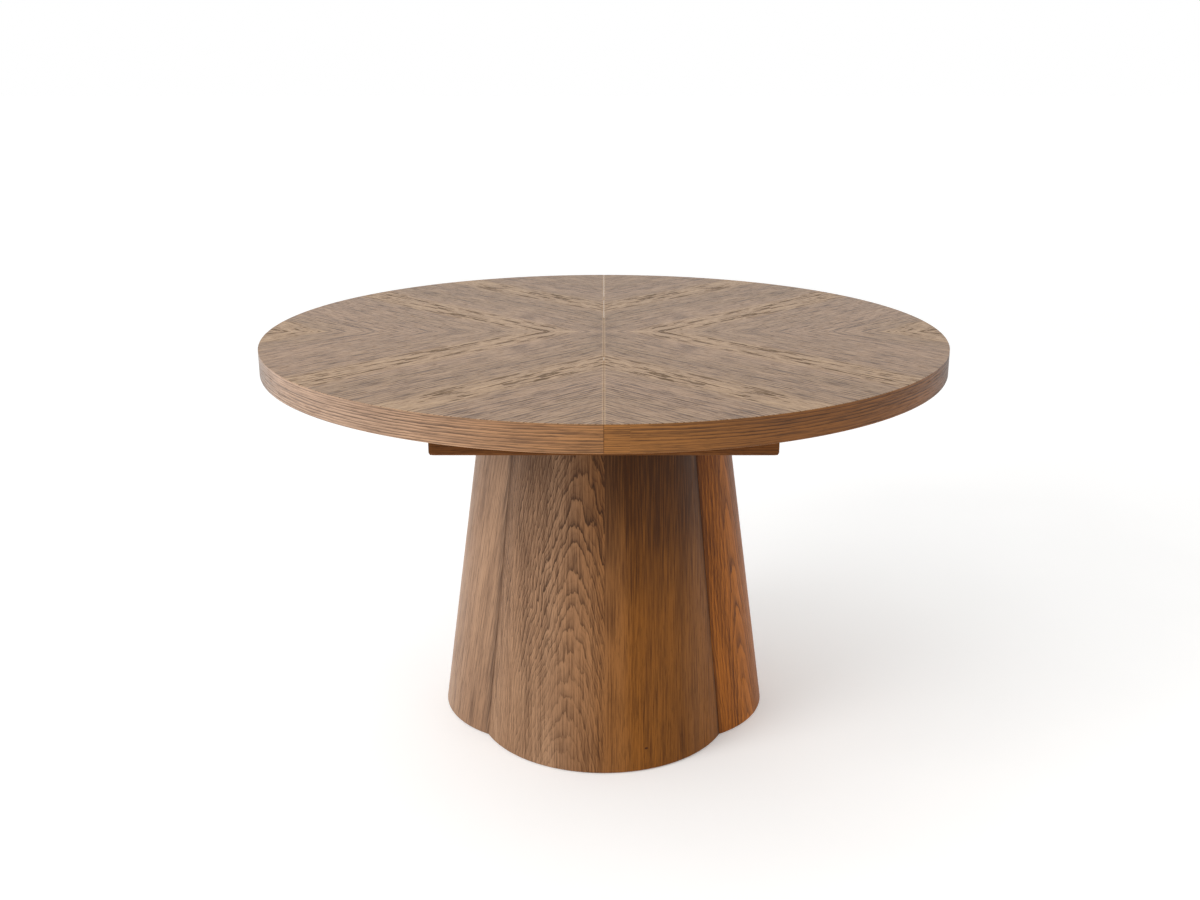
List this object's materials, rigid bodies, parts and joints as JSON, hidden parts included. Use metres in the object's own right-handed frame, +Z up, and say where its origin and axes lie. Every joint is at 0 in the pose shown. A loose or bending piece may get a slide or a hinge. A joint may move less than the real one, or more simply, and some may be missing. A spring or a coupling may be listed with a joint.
{
  "type": "round pedestal table",
  "caption": "Round extension dining table with quarter-matched oak top, deep straight rim and hollow four-lobed tapering pedestal; the top parts on geared slides.",
  "frame": {"origin": "floor level, under the centre of the round top", "axes": "+Z up; the seam of the top runs along Y, the halves part along X, and the front lobe of the pedestal faces -Y"},
  "size_m": [1.28, 1.28, 0.762],
  "materials": {
    "oak_top_veneer": "satin",
    "oak_rim": "satin",
    "oak_pedestal": "satin",
    "backing_veneer": "matte",
    "panel_core": "matte",
    "plywood": "matte",
    "dark_hardwood": "matte",
    "gear_nylon": "satin",
    "pin_steel": "ground",
    "glide_nylon": "matte",
    "beech_dowel": "matte",
    "lock_bolt_steel": "zinc plated",
    "lock_plate": "zinc plated",
    "insert_brass": "satin",
    "bolt_steel": "zinc plated",
    "screw_steel": "zinc plated"
  },
  "bodies": {
    "pedestal": {"bearer_left": "dark_hardwood", "bearer_right": "dark_hardwood", "bearer_screws": "screw_steel", "corner_post_back_left": "plywood", "corner_post_back_right": "plywood", "corner_post_front_left": "plywood", "corner_post_front_right": "plywood", "fixed_rail_back": "dark_hardwood", "fixed_rail_front": "dark_hardwood", "fixed_rail_screws": "screw_steel", "former_bottom": "plywood", "former_middle": "plywood", "former_top": "plywood", "glide_nails": "screw_steel", "glides": "glide_nylon", "insert_nuts": "insert_brass", "mounting_plate": "dark_hardwood", "pinion_pins": "pin_steel", "plate_bolts": "bolt_steel", "shell_back": "oak_pedestal", "shell_front": "oak_pedestal", "shell_left": "oak_pedestal", "shell_right": "oak_pedestal"},
    "left_half": {"veneer_left_front": "oak_top_veneer", "veneer_left_back": "oak_top_veneer", "core_left": "panel_core", "backing_left": "backing_veneer", "rim_left": "oak_rim", "rail_left_front": "dark_hardwood", "rail_left_back": "dark_hardwood", "rack_left_front": "gear_nylon", "rack_left_back": "gear_nylon", "rail_screws_left": "screw_steel", "lock_cases": "lock_plate", "lock_screws_left": "screw_steel", "seam_dowels": "beech_dowel"},
    "right_half": {"veneer_right_front": "oak_top_veneer", "veneer_right_back": "oak_top_veneer", "core_right": "panel_core", "backing_right": "backing_veneer", "rim_right": "oak_rim", "rail_right_front": "dark_hardwood", "rail_right_back": "dark_hardwood", "rack_right_front": "gear_nylon", "rack_right_back": "gear_nylon", "rail_screws_right": "screw_steel", "lock_keepers": "lock_plate", "lock_screws_right": "screw_steel"},
    "pinion_front": {"pinion_front": "gear_nylon"},
    "pinion_back": {"pinion_back": "gear_nylon"},
    "lock_bolt_front": {"lock_bolt_front": "lock_bolt_steel"},
    "lock_bolt_back": {"lock_bolt_back": "lock_bolt_steel"}
  },
  "joints": [
    {"name": "left_half_slide", "type": "slide", "parent": "pedestal", "child": "left_half", "axis": [-1, 0, 0], "range_m": [0, 0.255]},
    {"name": "right_half_slide", "type": "slide", "parent": "pedestal", "child": "right_half", "axis": [1, 0, 0], "range_m": [0, 0.255]},
    {"name": "pinion_front_spin", "type": "hinge", "parent": "pedestal", "child": "pinion_front", "pos_m": [0, -0.21, 0.72], "axis": [0, 0, 1], "range_deg": [-735, 1]},
    {"name": "pinion_back_spin", "type": "hinge", "parent": "pedestal", "child": "pinion_back", "pos_m": [0, 0.21, 0.72], "axis": [0, 0, 1], "range_deg": [-1, 735]},
    {"name": "lock_bolt_front_slide", "type": "slide", "parent": "left_half", "child": "lock_bolt_front", "axis": [1, 0, 0], "range_m": [0, 0.025]},
    {"name": "lock_bolt_back_slide", "type": "slide", "parent": "left_half", "child": "lock_bolt_back", "axis": [1, 0, 0], "range_m": [0, 0.025]}
  ],
  "couplings": [
    {"joint": "right_half_slide", "follows": "left_half_slide", "ratio": 1},
    {"joint": "pinion_front_spin", "follows": "left_half_slide", "rad_per_m": -50},
    {"joint": "pinion_back_spin", "follows": "left_half_slide", "rad_per_m": 50}
  ]
}
